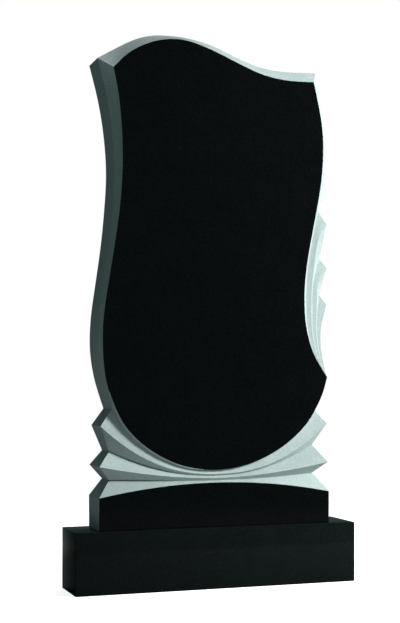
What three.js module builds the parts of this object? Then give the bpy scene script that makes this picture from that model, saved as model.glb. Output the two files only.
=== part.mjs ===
// A headstone in black granite: an upright stele with a free outline, a polished panel set off by a
// cut bevel, and two fans of folded pleats, standing on a rectangular base block.
// Millimetres, +Z up, +X to the right as seen from the front, and the front faces -Y.
// The origin is the middle of the base block's underside.
import * as THREE from 'three';
import { ConvexGeometry } from 'three/addons/geometries/ConvexGeometry.js';
import { mergeVertices } from 'three/addons/utils/BufferGeometryUtils.js';

// Driving dimensions
const steleWidth = 600;
const steleHeight = 1200;
const steleThickness = 100;
const sideMargin = 62.5; // base block past the stele, left and right
const faceMargin = 20; // base block past the stele, front and back
const baseHeight = 150;
const baseArris = 2; // chamfer on the base block's edges
const jointGap = 0.3; // between the base block and the stele

// Relief, measured back from the stele's front plane
const bevelDepth = 20; // outer edge of the bevel round the panel
const valleyDepth = 32; // valleys of the lower pleats at their outer ends
const gatherDepth = 8; // the same valleys where the pleats gather in the middle
const upperRidgeDepth = 10; // outer ends of the ridge nearest the panel
const firstValleyDepth = 18; // left end of the valley above that ridge
const tipDepth = 6; // the panel's right tip, where the wing's pleats begin
const wingRidgeDepth = 14; // outer ends of the wing's ridges
const wingValleyDepth = 16.5; // outer ends of the wing's valleys
const lipWidth = 3.6; // left end of the narrow bevel below the panel, seen from the front
const lipEndWidth = 1.2; // the same bevel from the panel's middle on to the right

// Straight steps from one point of a curve to the next
const stepsPerSpan = 3;
const stepsPerGatheredSpan = 4;

// Every point below is a pair of shares of the stele's own size: across from its middle line in
// half widths, and up from its foot in heights. The outlines run counter-clockwise.

// The panel's edge from its top left corner down the left side, round the foot, to its right tip
const panelLeftAndFoot = [
  [-0.881, 0.9233], [-0.837, 0.8667], [-0.81, 0.7917], [-0.807, 0.7192], [-0.829, 0.645],
  [-0.871, 0.5708], [-0.92, 0.4967], [-0.964, 0.4225], [-0.968, 0.3583], [-0.943, 0.3],
  [-0.868, 0.2429], [-0.763, 0.1986], [-0.56, 0.1548], [-0.29, 0.1237], [-0.013, 0.1158],
  [0.267, 0.1258], [0.5551, 0.1572], [0.7778, 0.203], [0.8778, 0.2389], [0.9465, 0.2738],
  [0.984, 0.3062],
];
const gatherStartIndex = 10; // the points of that edge between which the lower pleats hang
const gatherEndIndex = 18;

// The panel's edge from the right tip up the concave side to its top right corner
const panelRight = [
  [0.984, 0.3062], [0.87, 0.35], [0.8, 0.4008], [0.777, 0.4508], [0.78, 0.5017],
  [0.805, 0.5517], [0.843, 0.6025], [0.885, 0.6542], [0.925, 0.7083], [0.947, 0.7667],
  [0.944, 0.8208], [0.912, 0.8708], [0.861, 0.9267],
];
const wingTopIndex = 7; // the point of that edge where the wing's pleats end

// The panel's top edge from right to left
const panelTop = [
  [0.861, 0.9267], [0.627, 0.9253], [0.41, 0.9325], [0.197, 0.9508], [-0.013, 0.9717],
  [-0.222, 0.9875], [-0.358, 0.9904], [-0.493, 0.9855], [-0.629, 0.9733], [-0.762, 0.9529],
  [-0.881, 0.9233],
];

// The stele's own outline beside those stretches, where it is smooth
const outerLeft = [
  [-0.997, 0.9425], [-0.92, 0.8667], [-0.873, 0.7917], [-0.856, 0.7192], [-0.873, 0.645],
  [-0.903, 0.5708], [-0.946, 0.4967], [-0.987, 0.4225], [-0.992, 0.3583], [-0.954, 0.3],
];
const outerRight = [
  [0.93, 0.6567], [0.976, 0.7083], [0.993, 0.7683], [0.99, 0.8208], [0.965, 0.8708],
  [0.903, 0.95],
];
const outerTop = [
  [0.903, 0.95], [0.587, 0.9472], [0.373, 0.9532], [0.173, 0.9696], [-0.04, 0.9892],
  [-0.25, 0.9988], [-0.405, 1], [-0.54, 0.9975], [-0.677, 0.9875], [-0.84, 0.9658],
  [-0.997, 0.9425],
];
const wingEdge = [[0.973, 0.33], [0.945, 0.36], [0.945, 0.39], [0.96, 0.4167], [0.98, 0.4417]];

// The lower pleats' ridges and valleys from the panel down. Each one hangs as a bow between two
// points on the outline, and reaches its own height in the middle.
const lowerFolds = [
  { left: [-0.98, 0.2078], right: [0.997, 0.208], middle: 0.1075, bow: 2.3, ends: upperRidgeDepth,
    gathered: 3 },
  { left: [-0.891, 0.1563], right: [0.89, 0.1625], middle: 0.1035, bow: 2.1, ends: valleyDepth,
    gathered: gatherDepth },
  { left: [-0.996, 0.1271], right: [0.993, 0.1267], middle: 0.0992, bow: 1.8, ends: 2,
    gathered: 2 },
  { left: [-0.892, 0.0983], right: [0.89, 0.1029], middle: 0.0942, bow: 1.8, ends: valleyDepth,
    gathered: gatherDepth },
  { left: [-1, 0.065], right: [1, 0.065], middle: 0.0903, bow: 2, ends: 0, gathered: 0 },
];
const depthBow = 1.5; // how steeply a fold sinks from the middle to its ends
const lipBow = 4; // the same for the lip, which stays shallow for longer

// The valley between the panel and the first ridge leaves the lip on the left only
const firstValleyPlace = 0.42; // along the outline from the lip to the first ridge
const firstValleyReach = 0.375; // the share of the panel's foot over which it stays apart

// The wing's folds from the panel outwards: where each meets the outline, and its place between
// the panel and the wing's edge where they all run together. Each ridge and the valley after it
// lie close, so that the wing is three broad petals with narrow steps. Spans say how far up it runs.
const wingFolds = [
  { end: [0.93, 0.6567], place: 0.16, depth: bevelDepth, spans: 7 },
  { end: [1, 0.6308], place: 0.38, depth: wingRidgeDepth, spans: 7 },
  { end: [0.937, 0.5567], place: 0.44, depth: wingValleyDepth, spans: 5 },
  { end: [1, 0.5375], place: 0.64, depth: wingRidgeDepth, spans: 5 },
  { end: [0.933, 0.48], place: 0.7, depth: wingValleyDepth, spans: 3 },
  { end: [0.997, 0.46], place: 0.9, depth: wingRidgeDepth, spans: 3 },
];
const wingSpread = [0.087, 0.153, 0.2, 0.213, 0.22, 0.22]; // beside the panel's points from the tip up
const wingFlare = 0.022; // a fold turns to its end over this share of the height

// A point of the front surface at a depth behind the front plane
function place([across, up], depth = 0) {
  const x = across * steleWidth / 2;
  return new THREE.Vector3(x, depth - steleThickness / 2, up * steleHeight);
}

function smooth(points) {
  return new THREE.CatmullRomCurve3(points, false, 'centripetal');
}

// The points of a smooth curve between two of the points that it runs through
function stretch(curve, first, last, steps) {
  const spans = curve.points.length - 1;
  const points = [];
  for (let i = 0; i <= steps; i++) {
    points.push(curve.getPoint((first + (last - first) * i / steps) / spans));
  }
  return points;
}

// Points on the straight way to an end, with the end and without the start
function stepsBetween(start, end, steps) {
  return Array.from({ length: steps }, (_, i) => (
    i + 1 === steps ? end : start.clone().lerp(end, (i + 1) / steps)
  ));
}

function wholeCurve(points) {
  const spans = points.length - 1;
  return stretch(smooth(points), 0, spans, spans * stepsPerSpan);
}

// A line beside another one, to its right as it is walked, at a distance and a depth for each point
function beside(line, widthAt, depthAt) {
  return line.map((point, i) => {
    const before = line[Math.max(i - 1, 0)];
    const after = line[Math.min(i + 1, line.length - 1)];
    const along = new THREE.Vector2(after.x - before.x, after.z - before.z).normalize();
    const y = depthAt(i) - steleThickness / 2;
    return new THREE.Vector3(point.x + widthAt(i) * along.y, y, point.z - widthAt(i) * along.x);
  });
}

// One ridge or valley of the lower pleats, from left to right
function lowerFold({ left, right, middle, bow, ends, gathered }, steps) {
  const points = [];
  for (let i = 0; i <= steps; i++) {
    const t = 2 * i / steps - 1;
    const end = t < 0 ? left : right;
    const up = middle + (end[1] - middle) * Math.abs(t) ** bow;
    const depth = gathered + (ends - gathered) * Math.abs(t) ** depthBow;
    points.push(place([end[0] * Math.abs(t), up], depth));
  }
  return points;
}

// One ridge or valley of the wing, from the panel's tip up to the outline
function wingFold({ end, place: share, depth }, tip, steps) {
  const stations = panelRight.slice(1, wingSpread.length + 1)
    .map(([across, up], i) => [across + share * wingSpread[i], up])
    .filter(([, up]) => up < end[1] - wingFlare);
  const points = stations.map((point) => {
    const along = (point[1] - panelRight[0][1]) / (end[1] - panelRight[0][1]);
    return place(point, tipDepth + (depth - tipDepth) * along);
  });
  return smooth([tip, ...points, place(end, depth)]).getSpacedPoints(steps);
}

// Collects the front surface's triangles, counter-clockwise as seen from the front
function frontSurface() {
  const triangles = [];
  const same = (a, b) => a.distanceTo(b) < 1e-4;
  const add = (a, b, c) => {
    if (!same(a, b) && !same(b, c) && !same(c, a)) triangles.push([a, b, c]);
  };
  return {
    triangles,
    // The ruled surface between a line and the next one to its right
    strip(line, next) {
      for (let i = 0; i + 1 < line.length; i++) {
        add(next[i], next[i + 1], line[i + 1]);
        add(next[i], line[i + 1], line[i]);
      }
    },
    // A level face inside a closed, counter-clockwise line
    face(loop) {
      const outline = loop.map((point) => new THREE.Vector2(point.x, point.z));
      for (const [a, b, c] of THREE.ShapeUtils.triangulateShape(outline, [])) {
        add(loop[a], loop[b], loop[c]);
      }
    },
  };
}

// Closes a front surface with a flat back at the slab's thickness and walls along its outline
function slabBehind(triangles) {
  const backOf = (point) => new THREE.Vector3(point.x, steleThickness / 2, point.z);
  const name = (a, b) => [a, b].map((p) => `${p.x.toFixed(3)},${p.z.toFixed(3)}`).join(' ');
  const edges = new Map();
  const solid = [];
  for (const [a, b, c] of triangles) {
    solid.push(a, b, c, backOf(c), backOf(b), backOf(a));
    for (const [from, to] of [[a, b], [b, c], [c, a]]) edges.set(name(from, to), [from, to]);
  }
  for (const [from, to] of edges.values()) {
    if (edges.has(name(to, from))) continue;
    solid.push(to, from, backOf(from), to, backOf(from), backOf(to));
  }
  return mergeVertices(new THREE.BufferGeometry().setFromPoints(solid), 1e-3);
}

const atFront = (points) => points.map((point) => place(point));
const atBevel = (points) => points.map((point) => place(point, bevelDepth));
const gatherSteps = (gatherEndIndex - gatherStartIndex) * stepsPerGatheredSpan;
const tipSteps = (panelLeftAndFoot.length - 1 - gatherEndIndex) * stepsPerSpan;

// The panel's edge in the stretches that meet different neighbours
function panelEdge() {
  const leftAndFoot = smooth(atFront(panelLeftAndFoot));
  const tip = panelLeftAndFoot.length - 1;
  const right = smooth(atFront(panelRight));
  const corner = panelRight.length - 1;
  return {
    left: stretch(leftAndFoot, 0, gatherStartIndex, gatherStartIndex * stepsPerSpan),
    foot: stretch(leftAndFoot, gatherStartIndex, gatherEndIndex, gatherSteps),
    belowTip: stretch(leftAndFoot, gatherEndIndex, tip, tipSteps),
    wing: stretch(right, 0, wingTopIndex, wingTopIndex * stepsPerSpan),
    upperRight: stretch(right, wingTopIndex, corner, (corner - wingTopIndex) * stepsPerSpan),
    top: wholeCurve(atFront(panelTop)),
  };
}

// The lower edge of the lip, below the panel's foot and on to the right tip
function lipEdges(edge) {
  const widthAt = (i) => lipEndWidth + (lipWidth - lipEndWidth) * Math.max(0, 1 - 2 * i / gatherSteps);
  const lip = beside([...edge.foot, ...edge.belowTip.slice(1)], widthAt, (i) => {
    if (i > gatherSteps) return bevelDepth + (tipDepth - bevelDepth) * (i - gatherSteps) / tipSteps;
    return gatherDepth + (bevelDepth - gatherDepth) * Math.abs(2 * i / gatherSteps - 1) ** lipBow;
  });
  return { foot: lip.slice(0, gatherSteps + 1), belowTip: lip.slice(gatherSteps) };
}

// The lower pleats, from the lip down to the foot section's arched top, and that section
function addLowerPleats(front, lip) {
  const folds = lowerFolds.map((fold) => lowerFold(fold, gatherSteps));
  const apart = folds[0][0].clone().sub(lip[0]).multiplyScalar(firstValleyPlace);
  apart.y = firstValleyDepth - bevelDepth;
  const firstValley = lip.map((point, i) => {
    const near = Math.max(0, 1 - i / (gatherSteps * firstValleyReach)) ** 2;
    return point.clone().addScaledVector(apart, near);
  });
  [lip, firstValley, ...folds].reduce((line, next) => {
    front.strip(line, next);
    return next;
  });
  front.face([place([-1, 0]), place([1, 0]), ...folds.at(-1).toReversed()]);
}

// The wing's pleats, and the narrow facet between the last ridge and the concave edge. Where a fold
// ends below its neighbour, the strip between them runs on along the outline.
function addWing(front, panelSide, tip) {
  const lines = wingFolds.map((fold) => wingFold(fold, tip, fold.spans * stepsPerSpan));
  const lastRidge = lines.at(-1);
  const edgePoints = [tip, ...atBevel(wingEdge), lastRidge.at(-1)];
  const edge = smooth(edgePoints).getSpacedPoints(lastRidge.length - 1);
  [panelSide, ...lines, edge].reduce((line, next) => {
    front.strip(line, [...next, ...stepsBetween(next.at(-1), line.at(-1), line.length - next.length)]);
    return next;
  });
}

function steleGeometry() {
  const front = frontSurface();
  const edge = panelEdge();
  const lip = lipEdges(edge);
  front.face(Object.values(edge).flatMap((line) => line.slice(1)));
  front.strip(edge.foot, lip.foot);
  front.strip(edge.belowTip, lip.belowTip);
  front.strip(edge.left, wholeCurve([...atBevel(outerLeft), lip.foot[0]]));
  front.strip(edge.upperRight, wholeCurve(atBevel(outerRight)));
  front.strip(edge.top, wholeCurve(atBevel(outerTop)));
  addLowerPleats(front, lip.foot);
  addWing(front, edge.wing, lip.belowTip.at(-1));
  return slabBehind(front.triangles);
}

// A block with every edge chamfered, centred on its own middle
function chamferedBlock(width, depth, height, chamfer) {
  const corners = [];
  for (const x of [-1, 1]) for (const y of [-1, 1]) for (const z of [-1, 1]) {
    for (const kept of [0, 1, 2]) {
      const inset = [0, 1, 2].map((axis) => (axis === kept ? 0 : chamfer));
      corners.push(new THREE.Vector3(
        x * (width / 2 - inset[0]), y * (depth / 2 - inset[1]), z * (height / 2 - inset[2]),
      ));
    }
  }
  const block = new ConvexGeometry(corners);
  block.deleteAttribute('normal');
  return mergeVertices(block, 1e-3);
}

const polishedGranite = new THREE.MeshStandardMaterial({
  color: 0x15191b, roughness: 0.12, metalness: 0, flatShading: true,
});
const cutGranite = new THREE.MeshStandardMaterial({
  color: 0x5f6f70, roughness: 0.5, metalness: 0, flatShading: true,
});

const stele = new THREE.Mesh(steleGeometry(), cutGranite);
stele.name = 'stele';
stele.position.z = baseHeight + jointGap;

const baseBlock = new THREE.Mesh(
  chamferedBlock(steleWidth + 2 * sideMargin, steleThickness + 2 * faceMargin, baseHeight, baseArris),
  polishedGranite,
);
baseBlock.name = 'base_block';
baseBlock.position.z = baseHeight / 2;

const headstone = new THREE.Group();
headstone.add(baseBlock, stele);

export default headstone;
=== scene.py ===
"""A headstone in black granite: a stele with a polished panel and cut pleats, on a base block.

Metres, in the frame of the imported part: +Z up, the front faces -Y.
"""

import math

import bmesh
import bpy
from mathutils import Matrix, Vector
from mathutils.kdtree import KDTree


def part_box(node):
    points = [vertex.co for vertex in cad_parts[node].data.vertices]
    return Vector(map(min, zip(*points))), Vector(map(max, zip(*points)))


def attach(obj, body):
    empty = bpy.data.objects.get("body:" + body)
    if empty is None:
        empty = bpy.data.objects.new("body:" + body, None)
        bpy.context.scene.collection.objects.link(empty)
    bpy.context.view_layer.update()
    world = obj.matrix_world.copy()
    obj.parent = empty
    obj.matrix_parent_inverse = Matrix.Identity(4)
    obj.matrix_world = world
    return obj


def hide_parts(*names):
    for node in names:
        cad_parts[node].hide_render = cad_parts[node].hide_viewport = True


bl_info = {
    "name": "Pleated Granite Headstone",
    "version": (1, 0, 0),
    "blender": (4, 5, 0),
    "location": "View3D > Sidebar > Headstone",
    "description": "A polished and cut granite stele on its base block, with a stage to see it on",
    "category": "Add Mesh",
}

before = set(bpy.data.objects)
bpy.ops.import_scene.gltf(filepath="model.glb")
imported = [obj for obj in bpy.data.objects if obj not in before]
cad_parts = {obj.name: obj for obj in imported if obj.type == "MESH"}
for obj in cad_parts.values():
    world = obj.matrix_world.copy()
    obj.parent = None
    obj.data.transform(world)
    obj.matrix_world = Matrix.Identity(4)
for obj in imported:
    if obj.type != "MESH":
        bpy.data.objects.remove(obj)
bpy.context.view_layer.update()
STELE_LOW, STELE_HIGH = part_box("stele")
BASE_LOW, BASE_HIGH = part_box("base_block")

MM = 0.001
STELE_HEIGHT = STELE_HIGH.z - STELE_LOW.z

# The stele's mesh
ON_PLANE = 0.01 * MM  # a point this close to a flat face lies on it
SAME_PLACE = 0.02 * MM  # two points this close are one
MOST_TWIST = math.radians(35)  # between two triangles that make one twisted quad
LEAST_CORNER = math.radians(22)  # the outline turns at a corner by more than this
LIP_TOP = 0.4  # share of the stele's height where the sloped rim begins
LIP_FADE = 0.2  # share of the height, or of the half width, over which it grows
LIP_LEAST = 0.1  # share of its width that is left where it has no slope
GROOVE_TOP = 0.115  # share of the height below which the valleys are grooved, in the middle
GROOVE_RISE = 0.06  # share of the height that this rises by towards the outline
GROOVE_START, GROOVE_END = 0.3 * STELE_LOW.x, 0.9 * STELE_LOW.x  # none, and full depth

# The stone's grain
CRYSTALS_PER_METRE = 620
CLOUD_SHARE = 0.35
FINE_SHARE = 0.4  # of the fine grain beside the crystals
GLINTS_FROM = 0.93  # the brightest crystals glint
MASK_SPAN = (0.25, 0.75)  # the part of a mask over which a colour runs from dark to light
POLISHED_DARK, POLISHED_LIGHT, POLISHED_GLINT = 0.6, 1.5, 2.5  # times the stone's colour
POLISHED_SMOOTH, POLISHED_ROUGH = 0.8, 1.3  # times its roughness
CUT_DARK, CUT_LIGHT = 0.8, 1.2  # times the stone's colour
CUT_SMOOTH, CUT_ROUGH = -0.08, 0.1  # added to its roughness
CUT_SHEEN = 0.3

# The stage. Each light has a name, a place, a size, the setting that holds its power, a colour,
# and whether the polish mirrors it.
LIGHTS = (
    ("key_light", (1.86, -1.5, 1.55), 0.8, "key_power", (1, 0.96, 0.95), False),
    ("top_light", (0.6, -0.2, 3.2), 1.5, "fill_power", (0.95, 1, 1), True),
    ("low_light", (-0.6, -3, 0.25), 1, "low_power", (0.7, 1, 1), False),
    ("back_light", (1.2, 3.2, 2.2), 1.5, "back_power", (0.95, 1, 1), True),
)
LIGHT_TARGET = Vector((0, 0, 0.65))
SURROUND_COLOUR = (0.66, 0.98, 1, 1)
CAMERA_PLACE = (-1.0431, -2.9305, 0.5132)
CAMERA_TURN = math.radians(-19.14)
CAMERA_LENS = 72.03
CAMERA_SHIFT = (-0.0016, 0.108)
FLOOR_LIFT = 1.1  # what the camera alone sees the floor add to its own light
FLOOR_IN_POLISH = 0.2  # share of the floor's colour that the polish mirrors
FLOOR_FADE = (0.9, 2.6)  # the floor is whole up to the first distance and gone at the second


# Sizes and colours that a user would change

class SteleSettings(bpy.types.PropertyGroup):
    """The upright stone"""

    curve_steps: bpy.props.IntProperty(
        name="Curve steps", description="How often each step of the pleats and outline is halved",
        default=2, min=1, max=3)
    fold_angle: bpy.props.FloatProperty(
        name="Fold angle", description="Edges sharper than this stay crisp",
        default=math.radians(10), subtype="ANGLE")
    cut_colour: bpy.props.FloatVectorProperty(
        name="Cut stone", description="Colour of the fine cut, unpolished stone",
        default=(0.315, 0.395, 0.39), size=3, subtype="COLOR")
    cut_roughness: bpy.props.FloatProperty(
        name="Cut roughness", description="Roughness of the cut stone",
        default=0.62, min=0, max=1, subtype="FACTOR")
    arris: bpy.props.FloatProperty(
        name="Arris", description="Width of the eased edges of the stele's outline",
        default=0.6 * MM, subtype="DISTANCE", unit="LENGTH")
    lip_width: bpy.props.FloatProperty(
        name="Lip width", description="Width of the sloped rim of the panel on the lower left",
        default=1.7 * MM, subtype="DISTANCE", unit="LENGTH")
    lip_depth: bpy.props.FloatProperty(
        name="Lip depth", description="How far that rim slopes down",
        default=1 * MM, subtype="DISTANCE", unit="LENGTH")
    groove_width: bpy.props.FloatProperty(
        name="Groove width", description="Width of the saw's groove in the lower left valleys",
        default=4.2 * MM, subtype="DISTANCE", unit="LENGTH")
    groove_depth: bpy.props.FloatProperty(
        name="Groove depth", description="Depth of that groove where it meets the outline",
        default=7 * MM, subtype="DISTANCE", unit="LENGTH")


class PolishSettings(bpy.types.PropertyGroup):
    """The polished black stone of the panel, the foot section and the base block"""

    panel_colour: bpy.props.FloatVectorProperty(
        name="Polished panel", description="Colour of the polished panel and foot section",
        default=(0.0017, 0.0023, 0.0025), size=3, subtype="COLOR")
    # The base block is the same black stone as the panel, but this colour is painted about twice
    # as light: painted light for the brighter light that falls on the base.
    painted_lit_base_colour: bpy.props.FloatVectorProperty(
        name="Polished base", description="Colour of the polished base block",
        default=(0.0036, 0.0056, 0.0056), size=3, subtype="COLOR")
    roughness: bpy.props.FloatProperty(
        name="Polish roughness", description="Roughness of the mirror polish",
        default=0.07, min=0, max=1, subtype="FACTOR")
    sheen_level: bpy.props.FloatProperty(
        name="Reflection", description="Strength of the polish's reflection",
        default=0.1, min=0, max=1, subtype="FACTOR")


class BaseSettings(bpy.types.PropertyGroup):
    """The base block"""

    arris: bpy.props.FloatProperty(
        name="Arris", description="Width of the eased edges of the base block",
        default=2 * MM, subtype="DISTANCE", unit="LENGTH")
    arris_steps: bpy.props.IntProperty(
        name="Arris steps", description="Facets across each eased edge", default=3, min=1, max=6)


class StageSettings(bpy.types.PropertyGroup):
    """The floor, the light and the camera"""

    floor_size: bpy.props.FloatProperty(
        name="Floor", description="Width of the floor", default=6, subtype="DISTANCE",
        unit="LENGTH")
    floor_colour: bpy.props.FloatVectorProperty(
        name="Floor colour", description="Colour of the pale floor",
        default=(0.8, 0.81, 0.81), size=3, subtype="COLOR")
    floor_bounce: bpy.props.FloatProperty(
        name="Floor bounce", description="Share of the floor's light that it throws at the stone",
        default=0.5, min=0, max=1, subtype="FACTOR")
    key_power: bpy.props.FloatProperty(
        name="Key light", description="Power of the soft light on the right, in watts",
        default=143, min=0)
    fill_power: bpy.props.FloatProperty(
        name="Fill light", description="Power of the soft light from above, in watts",
        default=5, min=0)
    low_power: bpy.props.FloatProperty(
        name="Low light", description="Power of the faint light on the left, in watts",
        default=2.5, min=0)
    back_power: bpy.props.FloatProperty(
        name="Back light", description="Power of the soft light behind the stone, in watts",
        default=60, min=0)
    surround: bpy.props.FloatProperty(
        name="Surround", description="Strength of the even light from all round",
        default=0.078, min=0)


def settings(name):
    """One of the groups of sizes and colours above."""
    return getattr(bpy.context.scene, name)


# Small helpers

def deselect_all():
    if bpy.context.object and bpy.context.object.mode != "OBJECT":
        bpy.ops.object.mode_set(mode="OBJECT")
    bpy.ops.object.select_all(action="DESELECT")


def make_active(piece):
    deselect_all()
    piece.select_set(True)
    bpy.context.view_layer.objects.active = piece


def edit(piece):
    """Opens a piece in edit mode with nothing selected, and gives its mesh."""
    make_active(piece)
    bpy.ops.object.mode_set(mode="EDIT")
    bpy.ops.mesh.select_mode(type="FACE")
    bpy.ops.mesh.select_all(action="DESELECT")
    return bmesh.from_edit_mesh(piece.data)


def leave_edit(piece):
    bmesh.update_edit_mesh(piece.data)
    bpy.ops.object.mode_set(mode="OBJECT")


def select_faces(mesh, wanted):
    for face in mesh.faces:
        face.select_set(wanted(face))


def select_edges(mesh, wanted):
    bpy.ops.mesh.select_mode(type="EDGE")
    for edge in mesh.edges:
        edge.select_set(wanted(edge))


def apply_modifier(piece, kind, **values):
    make_active(piece)
    modifier = piece.modifiers.new(kind.title(), kind)
    for name, value in values.items():
        setattr(modifier, name, value)
    bpy.ops.object.modifier_apply(modifier=modifier.name)


def finish_piece(piece, material_slot, *nodes):
    """Says which body a piece rides on and hides the parts it stands for; material_slot is not
    used.
    """
    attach(piece, "root")
    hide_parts(*nodes)


# Materials

def link(tree, source, target):
    tree.links.new(source, target)


def add_node(tree, kind, **values):
    node = tree.nodes.new(kind)
    for name, value in values.items():
        if name in node.inputs:
            node.inputs[name].default_value = value
        else:
            setattr(node, name, value)
    return node


def granite_crystals():
    """The stone's own grain, shared by both finishes: crystals of two sizes and faint clouds."""
    name = "Granite crystals"
    if name in bpy.data.node_groups:
        return bpy.data.node_groups[name]
    tree = bpy.data.node_groups.new(name, "ShaderNodeTree")
    faces = tree.interface
    faces.new_socket("Vector", in_out="INPUT", socket_type="NodeSocketVector")
    for label, value in (("Crystals per metre", CRYSTALS_PER_METRE),
                         ("Cloud share", CLOUD_SHARE)):
        socket = faces.new_socket(label, in_out="INPUT", socket_type="NodeSocketFloat")
        socket.default_value = value
    for label in ("Grain", "Glints", "Height"):
        faces.new_socket(label, in_out="OUTPUT", socket_type="NodeSocketFloat")
    start = tree.nodes.new("NodeGroupInput")
    end = tree.nodes.new("NodeGroupOutput")

    coarse = add_node(tree, "ShaderNodeTexVoronoi", feature="F1")
    link(tree, start.outputs["Vector"], coarse.inputs["Vector"])
    link(tree, start.outputs["Crystals per metre"], coarse.inputs["Scale"])
    shade = tree.nodes.new("ShaderNodeSeparateColor")
    link(tree, coarse.outputs["Color"], shade.inputs["Color"])

    clouds = add_node(tree, "ShaderNodeTexNoise", Scale=14, Detail=5, Roughness=0.6)
    link(tree, start.outputs["Vector"], clouds.inputs["Vector"])
    fine = add_node(tree, "ShaderNodeTexNoise", Scale=1500, Detail=2, Roughness=0.5)
    link(tree, start.outputs["Vector"], fine.inputs["Vector"])

    both = add_node(tree, "ShaderNodeMix", data_type="FLOAT")
    both.inputs[0].default_value = FINE_SHARE
    link(tree, shade.outputs["Red"], both.inputs[2])
    link(tree, fine.outputs["Fac"], both.inputs[3])
    grain = add_node(tree, "ShaderNodeMix", data_type="FLOAT")
    link(tree, start.outputs["Cloud share"], grain.inputs[0])
    link(tree, both.outputs[0], grain.inputs[2])
    link(tree, clouds.outputs["Fac"], grain.inputs[3])
    link(tree, grain.outputs[0], end.inputs["Grain"])

    glints = add_node(tree, "ShaderNodeMapRange")
    glints.inputs["From Min"].default_value = GLINTS_FROM
    link(tree, shade.outputs["Green"], glints.inputs["Value"])
    link(tree, glints.outputs["Result"], end.inputs["Glints"])
    link(tree, both.outputs[0], end.inputs["Height"])
    return tree


def new_material(name):
    material = bpy.data.materials.new(name)
    material.use_nodes = True
    tree = material.node_tree
    shader = next(node for node in tree.nodes if node.type == "BSDF_PRINCIPLED")
    place = tree.nodes.new("ShaderNodeTexCoord")
    crystals = tree.nodes.new("ShaderNodeGroup")
    crystals.node_tree = granite_crystals()
    link(tree, place.outputs["Object"], crystals.inputs["Vector"])
    return material, tree, shader, crystals


def shade_between(tree, mask, dark, light):
    """A colour that runs from dark to light with a mask."""
    ramp = tree.nodes.new("ShaderNodeValToRGB")
    ends = zip(ramp.color_ramp.elements, MASK_SPAN, (dark, light))
    for element, position, colour in ends:
        element.position = position
        element.color = (*colour, 1)
    link(tree, mask, ramp.inputs["Fac"])
    return ramp.outputs["Color"]


def scaled(colour, factor):
    return tuple(min(1, part * factor) for part in colour)


def polished_granite(name, colour):
    """Mirror polish: nearly black, with faint crystals and a few glints under the polish."""
    look = settings("headstone_polish")
    material, tree, shader, crystals = new_material(name)
    body = shade_between(tree, crystals.outputs["Grain"], scaled(colour, POLISHED_DARK),
                         scaled(colour, POLISHED_LIGHT))
    glint = add_node(tree, "ShaderNodeMix", data_type="RGBA", blend_type="MIX")
    link(tree, crystals.outputs["Glints"], glint.inputs[0])
    link(tree, body, glint.inputs[6])
    glint.inputs[7].default_value = (*scaled(colour, POLISHED_GLINT), 1)
    link(tree, glint.outputs[2], shader.inputs["Base Color"])
    gloss = add_node(tree, "ShaderNodeMapRange")
    gloss.inputs["To Min"].default_value = look.roughness * POLISHED_SMOOTH
    gloss.inputs["To Max"].default_value = look.roughness * POLISHED_ROUGH
    link(tree, crystals.outputs["Grain"], gloss.inputs["Value"])
    link(tree, gloss.outputs["Result"], shader.inputs["Roughness"])
    shader.inputs["Specular IOR Level"].default_value = look.sheen_level
    return material


def cut_granite():
    """Fine cut stone: grey, matt, with crystals that show light and dark and a faint tooth."""
    look = settings("headstone_stele")
    material, tree, shader, crystals = new_material("Cut granite")
    body = shade_between(tree, crystals.outputs["Grain"], scaled(look.cut_colour, CUT_DARK),
                         scaled(look.cut_colour, CUT_LIGHT))
    link(tree, body, shader.inputs["Base Color"])
    gloss = add_node(tree, "ShaderNodeMapRange")
    gloss.inputs["To Min"].default_value = look.cut_roughness + CUT_SMOOTH
    gloss.inputs["To Max"].default_value = look.cut_roughness + CUT_ROUGH
    link(tree, crystals.outputs["Grain"], gloss.inputs["Value"])
    link(tree, gloss.outputs["Result"], shader.inputs["Roughness"])
    tooth = add_node(tree, "ShaderNodeBump", Strength=0.12, Distance=0.2 * MM)
    link(tree, crystals.outputs["Height"], tooth.inputs["Height"])
    link(tree, tooth.outputs["Normal"], shader.inputs["Normal"])
    shader.inputs["Specular IOR Level"].default_value = CUT_SHEEN
    return material


# The stele

def is_flat_face(face, planes=(STELE_LOW.y, STELE_HIGH.y)):
    """True for a face that lies in the stele's front plane or in its back."""
    return any(all(abs(v.co.y - y) < ON_PLANE for v in face.verts) for y in planes)


def turn_at(vertex):
    """The angle by which the open edge turns at a point of it."""
    ends = [edge.other_vert(vertex).co for edge in vertex.link_edges if edge.is_boundary]
    if len(ends) != 2:
        return 0
    return (vertex.co - ends[0]).angle(ends[1] - vertex.co, 0)


def open_loop(mesh):
    """The edges of one chain round an opening, or an empty set when the mesh is closed."""
    first = next((edge for edge in mesh.edges if edge.is_boundary), None)
    found, queue = set(), [first] if first else []
    while queue:
        edge = queue.pop()
        if edge in found:
            continue
        found.add(edge)
        queue += [other for vertex in edge.verts for other in vertex.link_edges
                  if other.is_boundary and other not in found]
    return found


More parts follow.
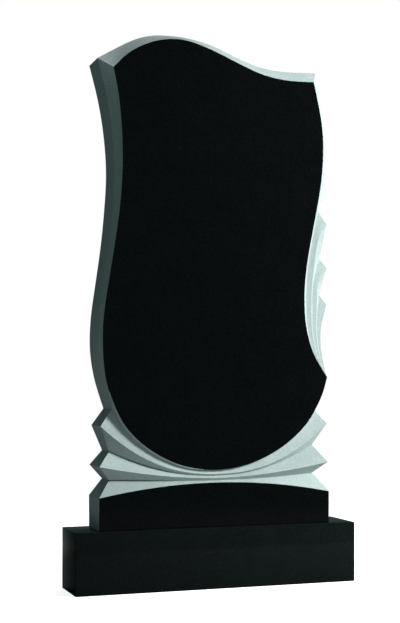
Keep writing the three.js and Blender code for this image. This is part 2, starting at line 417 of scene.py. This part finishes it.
def smooth_the_pleats(piece):
    """Takes the flat faces off, smooths the cut faces along their length and puts them back."""
    stone = settings("headstone_stele")
    mesh = edit(piece)
    select_faces(mesh, lambda face: True)
    bpy.ops.mesh.remove_doubles(threshold=ON_PLANE)
    mesh = bmesh.from_edit_mesh(piece.data)
    select_faces(mesh, is_flat_face)
    bpy.ops.mesh.delete(type="FACE")
    bpy.ops.mesh.select_all(action="SELECT")
    bpy.ops.mesh.tris_convert_to_quads(face_threshold=MOST_TWIST,
                                       shape_threshold=math.radians(170))
    mesh = bmesh.from_edit_mesh(piece.data)
    select_edges(mesh, lambda edge: edge.is_boundary
                 or edge.calc_face_angle(0) > stone.fold_angle)
    bpy.ops.transform.edge_crease(value=1)
    bpy.ops.mesh.select_all(action="DESELECT")
    bpy.ops.mesh.select_mode(type="VERT")
    mesh = bmesh.from_edit_mesh(piece.data)
    for vertex in mesh.verts:
        vertex.select_set(turn_at(vertex) > LEAST_CORNER)
    bpy.ops.transform.vert_crease(value=1)
    leave_edit(piece)
    apply_modifier(piece, "SUBSURF", levels=stone.curve_steps, render_levels=stone.curve_steps,
                   boundary_smooth="PRESERVE_CORNERS")
    mesh = edit(piece)
    while loop := open_loop(mesh):
        select_edges(mesh, lambda edge: edge in loop)
        bpy.ops.mesh.edge_face_add()
        mesh = bmesh.from_edit_mesh(piece.data)
    bpy.ops.mesh.select_all(action="SELECT")
    bpy.ops.mesh.normals_make_consistent(inside=False)
    leave_edit(piece)


def ease_the_lip(piece):
    """Slopes the rim of the panel gently down on the lower left, where it catches the light."""
    stone = settings("headstone_stele")
    mesh = edit(piece)
    panel = max((face for face in mesh.faces if is_flat_face(face, (STELE_LOW.y,))),
                key=lambda face: face.calc_area())
    panel.select_set(True)
    bpy.ops.mesh.inset(thickness=stone.lip_width, depth=0)
    mesh = bmesh.from_edit_mesh(piece.data)
    slopes = [(edge.other_vert(inner), inner) for inner in mesh.verts if inner.select
              for edge in inner.link_edges if not edge.other_vert(inner).select]
    for outer, inner in slopes:
        up = (outer.co.z - STELE_LOW.z) / STELE_HEIGHT
        from_top = min(1, max(0, (LIP_TOP - up) / LIP_FADE))
        from_middle = min(1, max(0, -outer.co.x / STELE_HIGH.x / LIP_FADE))
        share = from_top * from_middle
        inner.co = outer.co.lerp(inner.co, max(LIP_LEAST, share))
        outer.co.y += stone.lip_depth * share
    leave_edit(piece)


def split_the_flats(piece):
    """Splits every face of many sides into triangles."""
    mesh = edit(piece)
    select_faces(mesh, lambda face: len(face.verts) > 4)
    bpy.ops.mesh.quads_convert_to_tris(ngon_method="BEAUTY")
    leave_edit(piece)


def deepen_the_valleys(piece):
    """Sinks a groove along the valleys on the lower left, deepest at the outline."""
    stone = settings("headstone_stele")

    def is_low(point):
        share = GROOVE_TOP + GROOVE_RISE * (point.x / STELE_LOW.x) ** 2
        return point.x < GROOVE_START and point.z < STELE_LOW.z + share * STELE_HEIGHT

    mesh = edit(piece)
    select_edges(mesh, lambda edge: not edge.is_convex and not edge.is_boundary
                 and edge.calc_face_angle(0) > stone.fold_angle
                 and all(is_low(v.co) for v in edge.verts)
                 and abs(edge.verts[0].co.y - edge.verts[1].co.y) < 0.5 * edge.calc_length())
    bottoms = [v.co.copy() for v in mesh.verts if v.select]
    nearest = KDTree(len(bottoms))
    for index, point in enumerate(bottoms):
        nearest.insert(point, index)
    nearest.balance()
    bpy.ops.mesh.bevel(offset=stone.groove_width / 2, segments=2, profile=1, clamp_overlap=False)
    mesh = bmesh.from_edit_mesh(piece.data)
    for vertex in mesh.verts:
        if nearest.find(vertex.co)[2] < SAME_PLACE:
            share = (vertex.co.x - GROOVE_START) / (GROOVE_END - GROOVE_START)
            vertex.co.y += stone.groove_depth * min(1, share)
    leave_edit(piece)


def ease_the_outline(piece):
    """Takes the sharp arris off the outline, front and back."""
    mesh = edit(piece)

    def is_wall(face):
        return abs(face.normal.y) < 0.02

    select_edges(mesh, lambda edge: len(edge.link_faces) == 2
                 and is_wall(edge.link_faces[0]) != is_wall(edge.link_faces[1]))
    bpy.ops.mesh.bevel(offset=settings("headstone_stele").arris, segments=2, clamp_overlap=False)
    bpy.ops.mesh.select_all(action="SELECT")
    bpy.ops.mesh.remove_doubles(threshold=SAME_PLACE)
    leave_edit(piece)


def polish_the_front(piece):
    """Gives the panel and the foot section their polish, and all else the cut finish."""
    piece.data.materials.clear()
    piece.data.materials.append(cut_granite())
    piece.data.materials.append(
        polished_granite("Polished panel", settings("headstone_polish").panel_colour))
    rim = STELE_LOW.y + 1.05 * settings("headstone_stele").arris
    for polygon in piece.data.polygons:
        deepest = max(piece.data.vertices[i].co.y for i in polygon.vertices)
        polygon.material_index = 1 if deepest < rim else 0


def shade_the_faces(piece):
    """Smooth along the pleats, crisp at their folds and round the flat faces."""
    make_active(piece)
    bpy.ops.object.shade_smooth_by_angle(angle=settings("headstone_stele").fold_angle)
    mesh = edit(piece)
    flat = {face for face in mesh.faces if is_flat_face(face)}
    select_edges(mesh, lambda edge: len({face in flat for face in edge.link_faces}) == 2)
    bpy.ops.mesh.mark_sharp()
    leave_edit(piece)


class HEADSTONE_OT_stele(bpy.types.Operator):
    """Make the upright stone with its panel, bevels and pleats"""

    bl_idname = "headstone.stele"
    bl_label = "Stele"

    def execute(self, context):
        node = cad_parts["stele"]
        piece = node.copy()
        piece.data = node.data.copy()
        piece.name = "granite_stele"
        piece.parent = None
        for key in list(piece.keys()):
            del piece[key]
        context.scene.collection.objects.link(piece)
        smooth_the_pleats(piece)
        ease_the_lip(piece)
        split_the_flats(piece)
        deepen_the_valleys(piece)
        ease_the_outline(piece)
        polish_the_front(piece)
        shade_the_faces(piece)
        finish_piece(piece, "stele_granite", "stele")
        return {"FINISHED"}


# The base block

class HEADSTONE_OT_base_block(bpy.types.Operator):
    """Make the base block with its eased, polished edges"""

    bl_idname = "headstone.base_block"
    bl_label = "Base block"

    def execute(self, context):
        block = settings("headstone_base")
        deselect_all()
        bpy.ops.mesh.primitive_cube_add(size=1, location=(BASE_LOW + BASE_HIGH) / 2)
        piece = context.object
        piece.name = "granite_base_block"
        piece.scale = BASE_HIGH - BASE_LOW
        bpy.ops.object.transform_apply(location=True, rotation=True, scale=True)
        edit(piece)
        bpy.ops.mesh.select_all(action="SELECT")
        bpy.ops.mesh.bevel(offset=block.arris, segments=block.arris_steps, profile=0.5)
        leave_edit(piece)
        # Its polish colour is painted lighter than the panel's, though it is the same stone:
        # painted light.
        piece.data.materials.append(
            polished_granite("Polished base", settings("headstone_polish").painted_lit_base_colour))
        make_active(piece)
        bpy.ops.object.shade_smooth_by_angle(angle=math.radians(35))
        finish_piece(piece, "base_granite", "base_block")
        return {"FINISHED"}


# The stage

def soft_light(name, place, size, power, colour, mirrored):
    """A round light turned to the stone, which the polish mirrors or doesn't."""
    deselect_all()
    way = LIGHT_TARGET - Vector(place)
    bpy.ops.object.light_add(type="AREA", location=place,
                             rotation=way.to_track_quat("-Z", "Y").to_euler())
    light = bpy.context.object
    light.name = name
    light.data.shape = "DISK"
    light.data.size = size
    light.data.energy = power
    light.data.color = colour
    light.visible_glossy = mirrored


def pale_surround(strength):
    world = bpy.data.worlds.new("Pale surround")
    bpy.context.scene.world = world
    world.use_nodes = True
    tree = world.node_tree
    tree.nodes.clear()
    end = tree.nodes.new("ShaderNodeOutputWorld")
    seen = add_node(tree, "ShaderNodeBackground", Color=(1, 1, 1, 1), Strength=1)
    cast = add_node(tree, "ShaderNodeBackground", Color=SURROUND_COLOUR, Strength=strength)
    rays = tree.nodes.new("ShaderNodeLightPath")
    mix = tree.nodes.new("ShaderNodeMixShader")
    link(tree, rays.outputs["Is Camera Ray"], mix.inputs["Fac"])
    link(tree, cast.outputs["Background"], mix.inputs[1])
    link(tree, seen.outputs["Background"], mix.inputs[2])
    link(tree, mix.outputs["Shader"], end.inputs["Surface"])


def floor_material(colour, bounce):
    """A pale, matt floor that fades out at its rim and throws only part of its light back."""
    material = bpy.data.materials.new("Pale floor")
    material.use_nodes = True
    tree = material.node_tree
    shader = next(node for node in tree.nodes if node.type == "BSDF_PRINCIPLED")
    speckle = add_node(tree, "ShaderNodeTexNoise", Scale=3, Detail=3)
    place = tree.nodes.new("ShaderNodeTexCoord")
    link(tree, place.outputs["Object"], speckle.inputs["Vector"])
    away = add_node(tree, "ShaderNodeVectorMath", operation="LENGTH")
    link(tree, place.outputs["Object"], away.inputs[0])
    fade = add_node(tree, "ShaderNodeMapRange", interpolation_type="SMOOTHERSTEP")
    for label, value in zip(("From Min", "From Max", "To Min", "To Max"), (*FLOOR_FADE, 1, 0)):
        fade.inputs[label].default_value = value
    link(tree, away.outputs["Value"], fade.inputs["Value"])
    link(tree, fade.outputs["Result"], shader.inputs["Alpha"])
    pale = shade_between(tree, speckle.outputs["Fac"], scaled(colour, 0.985), colour)
    rays = tree.nodes.new("ShaderNodeLightPath")
    share = add_node(tree, "ShaderNodeMath", operation="MULTIPLY_ADD")
    share.inputs[1].default_value = bounce
    link(tree, rays.outputs["Is Diffuse Ray"], share.inputs[0])
    link(tree, rays.outputs["Is Camera Ray"], share.inputs[2])
    thrown = add_node(tree, "ShaderNodeMix", data_type="RGBA")
    thrown.inputs[6].default_value = (*scaled(colour, FLOOR_IN_POLISH), 1)
    link(tree, share.outputs["Value"], thrown.inputs[0])
    link(tree, pale, thrown.inputs[7])
    link(tree, thrown.outputs[2], shader.inputs["Base Color"])
    lift = add_node(tree, "ShaderNodeMath", operation="MULTIPLY")
    lift.inputs[1].default_value = FLOOR_LIFT
    link(tree, rays.outputs["Is Camera Ray"], lift.inputs[0])
    link(tree, pale, shader.inputs["Emission Color"])
    link(tree, lift.outputs["Value"], shader.inputs["Emission Strength"])
    shader.inputs["Roughness"].default_value = 0.9
    shader.inputs["Specular IOR Level"].default_value = 0
    return material


class HEADSTONE_OT_stage(bpy.types.Operator):
    """Set up the pale floor, the soft light and the camera"""

    bl_idname = "headstone.stage"
    bl_label = "Stage"

    def execute(self, context):
        stage = settings("headstone_stage")
        deselect_all()
        bpy.ops.mesh.primitive_plane_add(size=stage.floor_size, location=(0, 0, 0))
        floor = context.object
        floor.name = "floor"
        floor.data.materials.append(floor_material(stage.floor_colour, stage.floor_bounce))
        for name, place, size, power, colour, mirrored in LIGHTS:
            soft_light(name, place, size, getattr(stage, power), colour, mirrored)
        pale_surround(stage.surround)

        # The camera stands level, to the left of the stone, and the frame is raised on it
        bpy.ops.object.camera_add(location=CAMERA_PLACE,
                                  rotation=(math.pi / 2, 0, CAMERA_TURN))
        camera = context.object
        camera.name = "camera"
        camera.data.sensor_fit = "VERTICAL"
        camera.data.sensor_height = 36
        camera.data.lens = CAMERA_LENS
        camera.data.shift_x, camera.data.shift_y = CAMERA_SHIFT
        context.scene.camera = camera
        context.scene.view_settings.view_transform = "Standard"
        return {"FINISHED"}


class HEADSTONE_PT_panel(bpy.types.Panel):
    """Lists the sizes and the pieces"""

    bl_idname = "HEADSTONE_PT_panel"
    bl_label = "Headstone"
    bl_space_type = "VIEW_3D"
    bl_region_type = "UI"
    bl_category = "Headstone"

    def draw(self, context):
        for name, group in SETTINGS.items():
            box = self.layout.box()
            for value in group.__annotations__:
                box.prop(settings(name), value)
        for operator in OPERATORS:
            self.layout.operator(operator.bl_idname)


SETTINGS = {
    "headstone_stele": SteleSettings,
    "headstone_polish": PolishSettings,
    "headstone_base": BaseSettings,
    "headstone_stage": StageSettings,
}
OPERATORS = (HEADSTONE_OT_stele, HEADSTONE_OT_base_block, HEADSTONE_OT_stage)


def register():
    for name, group in SETTINGS.items():
        bpy.utils.register_class(group)
        setattr(bpy.types.Scene, name, bpy.props.PointerProperty(type=group))
    for operator in OPERATORS:
        bpy.utils.register_class(operator)
    bpy.utils.register_class(HEADSTONE_PT_panel)


def unregister():
    bpy.utils.unregister_class(HEADSTONE_PT_panel)
    for operator in reversed(OPERATORS):
        bpy.utils.unregister_class(operator)
    for name, group in reversed(SETTINGS.items()):
        delattr(bpy.types.Scene, name)
        bpy.utils.unregister_class(group)


def main():
    register()
    bpy.ops.headstone.stage()
    bpy.ops.headstone.stele()
    bpy.ops.headstone.base_block()
    deselect_all()


if __name__ == "__main__":
    main()
